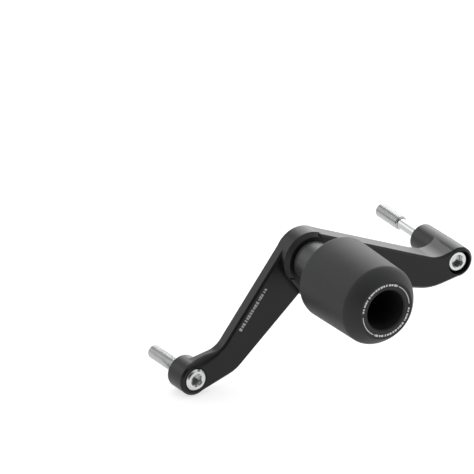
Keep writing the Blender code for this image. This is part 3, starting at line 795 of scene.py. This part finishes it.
def make_bobbin(sizes, colours):
    """The nylon bobbin: tapered flank, rounded nose, deep bore and stepped rear face."""
    rim_inner = BOBBIN_RADIUS - sizes.rear_round - sizes.rear_rim
    recess = BOBBIN_REAR - sizes.rear_recess
    seat = BOBBIN_REAR - sizes.seat_depth
    floor = BOBBIN_REAR - sizes.web
    corners = [
        (sizes.bush_hole, floor, SHARP),
        (sizes.bore_radius, floor, SOFT_EDGE),
        (sizes.bore_radius, BOBBIN_FRONT + sizes.bore_mouth, HAIR_EDGE),
        (sizes.bore_radius + sizes.bore_mouth, BOBBIN_FRONT, FINE_EDGE),
    ]
    corners += nose_corners(sizes)
    corners += [
        (BOBBIN_RADIUS, BOBBIN_REAR, sizes.rear_round),
        (rim_inner, BOBBIN_REAR, SMALL_EDGE),
        (rim_inner, recess, FINE_EDGE),
        (sizes.seat_radius, recess, FINE_EDGE),
        (sizes.seat_radius, seat, SHARP),
        (sizes.bush_hole, seat, SHARP),
        (sizes.bush_hole, floor, SHARP),
    ]
    piece = turn("bobbin_turned", corners, AXIS_X, AXIS_Z, TURNED_STEPS)
    finish_piece(piece, "bobbin", nylon_finish(colours))


def make_bush(sizes, colours):
    """The flanged bush in the bobbin's web."""
    tube = sizes.bush_hole - FIT_GAP
    hole = sizes.bolt_radius + BUSH_GAP
    flange = (BUSH_HIGH.x - BUSH_LOW.x) / 2
    flange_rear = BOBBIN_REAR - sizes.web - FIT_GAP
    corners = [
        (hole, BUSH_LOW.y, SHARP),
        (flange, BUSH_LOW.y, SMALL_EDGE),
        (flange, flange_rear, FINE_EDGE),
        (tube, flange_rear, SHARP),
        (tube, BUSH_HIGH.y, FINE_EDGE),
        (hole, BUSH_HIGH.y, SHARP),
        (hole, BUSH_LOW.y, SHARP),
    ]
    bush = turn("bush_machined", corners, AXIS_X, AXIS_Z, SMALL_STEPS)
    bare = bright_finish(
        "machined_bush", colours.aluminium, AXIS_X, AXIS_Z, roughness=0.3, ring_size=0.0003)
    finish_piece(bush, "bobbin_bush", bare)


def make_washer(sizes, colours):
    """The flat washer between the bush and the centre bolt's head."""
    hole = sizes.bolt_radius + BUSH_GAP
    rim = (WASHER_HIGH.x - WASHER_LOW.x) / 2
    corners = [
        (hole, WASHER_LOW.y, SHARP),
        (rim, WASHER_LOW.y, TURNED_EDGE),
        (rim, WASHER_HIGH.y, FINE_EDGE),
        (hole, WASHER_HIGH.y, SHARP),
        (hole, WASHER_LOW.y, SHARP),
    ]
    washer = turn("washer_plated", corners, AXIS_X, AXIS_Z, SMALL_STEPS)
    plated = bright_finish(
        "plated_washer", colours.steel, AXIS_X, AXIS_Z, roughness=0.22, ring_size=0.0003)
    finish_piece(washer, "centre_bolt_washer", plated)


def thread_outline(sizes, start, tip):
    """The thread's (radius, y) outline, from a pitch before its start to past its tip."""
    pitch = sizes.thread_pitch
    outer = sizes.bolt_radius
    inner = outer - sizes.thread_depth
    turns = math.ceil((tip - start) / pitch) + 1
    points = []
    for index in range(turns):
        base = start - pitch + index * pitch
        points += [
            Vector((inner, base)),
            Vector((inner, base + pitch * ROOT_END)),
            Vector((outer, base + pitch * CREST_START)),
            Vector((outer, base + pitch * CREST_END)),
        ]
    points.append(Vector((inner, start - pitch + turns * pitch)))
    return points


def cut_across(x, y, z, outward, **choices):
    """In edit mode, cut all of a mesh along a plane across the bolt's axis."""
    bpy.ops.mesh.select_all(action="SELECT")
    bpy.ops.mesh.bisect(
        plane_co=(x, y, z), plane_no=(0.0, outward, 0.0), threshold=THREAD_WELD, **choices)


def chamfer_thread(thread, x, z, start, tip, outer):
    """Narrow both ends of a thread into chamfers."""
    for vert in thread.data.vertices:
        vert.co.y = min(max(vert.co.y, start), tip)
        to_end = min(vert.co.y - start, tip - vert.co.y)
        limit = outer - max(THREAD_CHAMFER - to_end, 0.0)
        radius = offset_of(vert, x, z).length
        if radius > limit:
            move_in(vert, x, z, limit / radius)


def make_thread(sizes, x, z, start, tip):
    """A helical thread between two places along the axis, with flat chamfered ends."""
    thread = draw_line("thread", thread_outline(sizes, start, tip), 0.0, 0.0)
    wound = thread.modifiers.new("wound", "SCREW")
    wound.axis = "Y"
    wound.angle = math.tau
    wound.screw_offset = sizes.thread_pitch
    wound.steps = THREAD_STEPS
    wound.render_steps = THREAD_STEPS
    apply_modifier(thread, wound)
    start_edit(thread)
    bpy.ops.transform.translate(value=(x, 0.0, z))
    bpy.ops.mesh.remove_doubles(threshold=THREAD_WELD)
    for place, outward in ((start, -1.0), (tip, 1.0)):
        cut_across(x, place, z, outward, use_fill=True, clear_outer=True)
    for share in CHAMFER_CUTS:
        for place in (start + share * THREAD_CHAMFER, tip - share * THREAD_CHAMFER):
            cut_across(x, place, z, 1.0)
    bpy.ops.mesh.select_all(action="SELECT")
    bpy.ops.mesh.normals_make_consistent(inside=False)
    end_edit()
    chamfer_thread(thread, x, z, start, tip, sizes.bolt_radius)
    return thread


def knurl_head(bolt, x, z, top, head_radius):
    """Press straight knurls into the side of a socket head."""
    step = math.pi / KNURL_COUNT
    share = (head_radius - KNURL_DEPTH) / head_radius
    for vert in bolt.data.vertices:
        offset = offset_of(vert, x, z)
        on_side = offset.length >= head_radius - WELD
        if on_side and KNURL_START < vert.co.y - top < KNURL_END:
            column = round(math.atan2(offset.y, offset.x) / step)
            if column % 2:
                move_in(vert, x, z, share)


def cut_socket(bolt, sizes, x, z, top):
    """Cut the hexagon socket with its bevelled mouth and its drilled cone."""
    corner = sizes.hex_width / 2 / math.cos(math.pi / KEY_SIDES)
    deselect_all()
    bpy.ops.mesh.primitive_cylinder_add(
        vertices=KEY_SIDES, radius=corner, depth=sizes.hex_depth + KEY_MARGIN,
        location=(x, top + (sizes.hex_depth - KEY_MARGIN) / 2, z),
        rotation=(math.pi / 2, 0.0, 0.0))
    key = bpy.context.object
    bpy.ops.object.transform_apply(location=True, rotation=True, scale=True)
    join_or_cut(bolt, key, "DIFFERENCE")
    mouth = corner * MOUTH_SPREAD
    cone = turn("socket_mouth", [
        (0.0, top - MOUTH_DEPTH, SHARP),
        (mouth + MOUTH_DEPTH, top - MOUTH_DEPTH, SHARP),
        (mouth - MOUTH_DEPTH, top + MOUTH_DEPTH, SHARP),
        (0.0, top + MOUTH_DEPTH, SHARP),
    ], x, z, SOCKET_STEPS)
    join_or_cut(bolt, cone, "DIFFERENCE")
    floor = top + sizes.hex_depth
    drilled = sizes.hex_width / 2 * DRILL_SHARE
    drill = turn("drilled_cone", [
        (0.0, floor - MOUTH_DEPTH, SHARP),
        (drilled, floor - MOUTH_DEPTH, SHARP),
        (drilled, floor, SHARP),
        (0.0, floor + DRILL_POINT, SHARP),
    ], x, z, SOCKET_STEPS)
    join_or_cut(bolt, drill, "DIFFERENCE")


def make_bolt(name, node, sizes, colours, shank_radius, thread_start):
    """A knurled socket head bolt with its shank and its thread."""
    low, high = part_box(node)
    top = low.y
    x = (low.x + high.x) / 2
    z = (low.z + high.z) / 2
    head_radius = (high.x - low.x) / 2
    seat = top + sizes.head_height
    shank_end = thread_start + THREAD_CHAMFER * 2
    corners = [
        (0.0, top, SHARP),
        (head_radius - HEAD_CHAMFER, top, SMALL_EDGE),
        (head_radius, top + HEAD_CHAMFER, SMALL_EDGE),
    ]
    corners += [(head_radius, top + ring, SHARP) for ring in KNURL_RINGS]
    corners += [
        (head_radius, seat, FINE_EDGE),
        (shank_radius, seat, SMALL_EDGE),
        (shank_radius, shank_end, SHARP),
        (0.0, shank_end, SHARP),
    ]
    bolt = turn(name, corners, x, z, 2 * KNURL_COUNT)
    knurl_head(bolt, x, z, top, head_radius)
    cut_socket(bolt, sizes, x, z, top)
    join_or_cut(bolt, make_thread(sizes, x, z, thread_start, high.y), "UNION")
    # Behind the seat the plating carries painted shade: the shank and the thread are painted
    # darker
    plated = bright_finish(
        name + "_plating", colours.steel, x, z, roughness=0.2, ring_size=0.0002, painted_shade_from=seat)
    finish_piece(bolt, node, plated)


# Stage


def add_world(studio):
    """Pale light from all around, with a dark side around the camera."""
    world = bpy.data.worlds.new("studio_world")
    bpy.context.scene.world = world
    world.use_nodes = True
    backdrop = world.node_tree.nodes["Background"]
    backdrop.inputs["Color"].default_value = WHITE
    nodes = Nodes(world.node_tree)
    source = nodes.add("ShaderNodeTexCoord")
    aligned = nodes.add("ShaderNodeVectorMath", operation="DOT_PRODUCT")
    nodes.join(source.outputs["Generated"], aligned.inputs[0])
    aligned.inputs[1].default_value = Vector(DARK_SIDE).normalized()
    strength = nodes.remap(aligned.outputs["Value"], (DARK_FADE, DARK_CORE),
                           (studio.world_strength, studio.dark_strength))
    nodes.join(strength, backdrop.inputs["Strength"])


def add_sun(name, direction, angle, strength):
    """A broad soft lamp that shines from a direction."""
    deselect_all()
    bpy.ops.object.light_add(type="SUN", location=Vector(direction) * LAMP_DISTANCE)
    lamp = bpy.context.object
    lamp.name = name
    lamp.data.energy = strength
    lamp.data.angle = math.radians(angle)
    lamp.rotation_euler = Vector(direction).to_track_quat("Z", "Y").to_euler()


def add_floor(colours, studio):
    """A plain pale floor just under the lowest edge, lifted to white where it is seen."""
    deselect_all()
    bpy.ops.mesh.primitive_plane_add(
        size=studio.floor_size, location=(0.0, 0.0, SOLID_BOUNDS[0].z - FLOOR_GAP))
    floor = bpy.context.object
    floor.name = "studio_floor"
    material, shader, nodes = new_finish("pale_floor", colours.floor, metallic=0.0)
    shader.inputs["Roughness"].default_value = 0.9
    shader.inputs["Specular IOR Level"].default_value = 0.1
    rays = nodes.add("ShaderNodeLightPath").outputs
    seen = nodes.math("MAXIMUM", rays["Is Camera Ray"], rays["Is Glossy Ray"])
    seen = nodes.math("MAXIMUM", seen, rays["Is Transmission Ray"])
    shader.inputs["Emission Color"].default_value = WHITE
    nodes.join(nodes.math("MULTIPLY", seen, studio.floor_glow),
               shader.inputs["Emission Strength"])
    floor.data.materials.append(material)


def add_camera():
    """The photograph's view: parallel lines stay parallel, as in the photograph."""
    toward = CAMERA_RIGHT.cross(CAMERA_UP)
    middle = PICTURE_SIDE / 2
    aim = Vector((AXIS_X, SPINDLE_HIGH.y, AXIS_Z))
    aim -= CAMERA_RIGHT * (AXIS_PIXEL[0] - middle) / PIXELS_PER_METRE
    aim += CAMERA_UP * (AXIS_PIXEL[1] - middle) / PIXELS_PER_METRE
    deselect_all()
    bpy.ops.object.camera_add()
    camera = bpy.context.object
    camera.name = "photo_camera"
    camera.data.type = "ORTHO"
    camera.data.ortho_scale = PICTURE_SIDE / PIXELS_PER_METRE
    turned = Matrix((CAMERA_RIGHT, CAMERA_UP, toward)).transposed()
    camera.matrix_world = Matrix.Translation(aim + toward * CAMERA_DISTANCE) @ turned.to_4x4()
    bpy.context.scene.camera = camera


# Operators and panel


class SLIDER_OT_bracket(bpy.types.Operator):
    """Add the machined bracket"""

    bl_idname = "slider.bracket"
    bl_label = "Bracket"

    def execute(self, context):
        make_bracket(context.scene.slider_colours)
        return {"FINISHED"}


class SLIDER_OT_spindle(bpy.types.Operator):
    """Add the turned stand-off"""

    bl_idname = "slider.spindle"
    bl_label = "Spindle"

    def execute(self, context):
        make_spindle(context.scene.slider_sizes, context.scene.slider_colours)
        return {"FINISHED"}


class SLIDER_OT_bobbin(bpy.types.Operator):
    """Add the nylon bobbin"""

    bl_idname = "slider.bobbin"
    bl_label = "Bobbin"

    def execute(self, context):
        make_bobbin(context.scene.slider_sizes, context.scene.slider_colours)
        return {"FINISHED"}


class SLIDER_OT_bush(bpy.types.Operator):
    """Add the bush and the washer inside the bobbin"""

    bl_idname = "slider.bush"
    bl_label = "Bush and Washer"

    def execute(self, context):
        make_bush(context.scene.slider_sizes, context.scene.slider_colours)
        make_washer(context.scene.slider_sizes, context.scene.slider_colours)
        return {"FINISHED"}


class SLIDER_OT_bolts(bpy.types.Operator):
    """Add the three socket head bolts"""

    bl_idname = "slider.bolts"
    bl_label = "Bolts"

    def execute(self, context):
        sizes = context.scene.slider_sizes
        for name, node, shank_radius, thread_start in (
                ("centre_bolt_plated", "centre_bolt", sizes.bolt_radius, BOBBIN_REAR),
                ("left_bolt_plated", "left_frame_bolt", sizes.waist_radius, LEFT_THREAD_START),
                ("right_bolt_plated", "right_frame_bolt", sizes.waist_radius, RIGHT_THREAD_START)):
            make_bolt(name, node, sizes, context.scene.slider_colours, shank_radius, thread_start)
        return {"FINISHED"}


class SLIDER_OT_stage(bpy.types.Operator):
    """Add the floor, the light and the camera"""

    bl_idname = "slider.stage"
    bl_label = "Stage"

    def execute(self, context):
        studio = context.scene.slider_studio
        add_world(studio)
        add_floor(context.scene.slider_colours, studio)
        add_sun("rear_lamp", REAR_DIRECTION, REAR_ANGLE, studio.rear_strength)
        add_sun("side_lamp", SIDE_DIRECTION, SIDE_ANGLE, studio.side_strength)
        add_camera()
        context.scene.view_settings.view_transform = "Standard"
        return {"FINISHED"}


class SLIDER_PT_panel(bpy.types.Panel):
    """The slider's pieces and settings in the sidebar"""

    bl_idname = "SLIDER_PT_panel"
    bl_label = "Frame Slider"
    bl_space_type = "VIEW_3D"
    bl_region_type = "UI"
    bl_category = "Frame Slider"

    def draw(self, context):
        layout = self.layout
        for name in STEPS:
            layout.operator("slider." + name)
        for settings in (context.scene.slider_sizes, context.scene.slider_colours,
                         context.scene.slider_studio):
            box = layout.box()
            for name in type(settings).__annotations__:
                box.prop(settings, name)


STEPS = ("bracket", "spindle", "bobbin", "bush", "bolts", "stage")
CLASSES = (
    SliderSizes, SliderColours, SliderStudio, SLIDER_OT_bracket, SLIDER_OT_spindle,
    SLIDER_OT_bobbin, SLIDER_OT_bush, SLIDER_OT_bolts, SLIDER_OT_stage, SLIDER_PT_panel,
)


def register():
    """Make the settings, the operators and the panel known."""
    for item in CLASSES:
        bpy.utils.register_class(item)
    bpy.types.Scene.slider_sizes = bpy.props.PointerProperty(type=SliderSizes)
    bpy.types.Scene.slider_colours = bpy.props.PointerProperty(type=SliderColours)
    bpy.types.Scene.slider_studio = bpy.props.PointerProperty(type=SliderStudio)


def unregister():
    """Take them away again."""
    del bpy.types.Scene.slider_studio
    del bpy.types.Scene.slider_colours
    del bpy.types.Scene.slider_sizes
    for item in reversed(CLASSES):
        bpy.utils.unregister_class(item)


def main():
    register()
    for name in STEPS:
        getattr(bpy.ops.slider, name)()


if __name__ == "__main__":
    main()
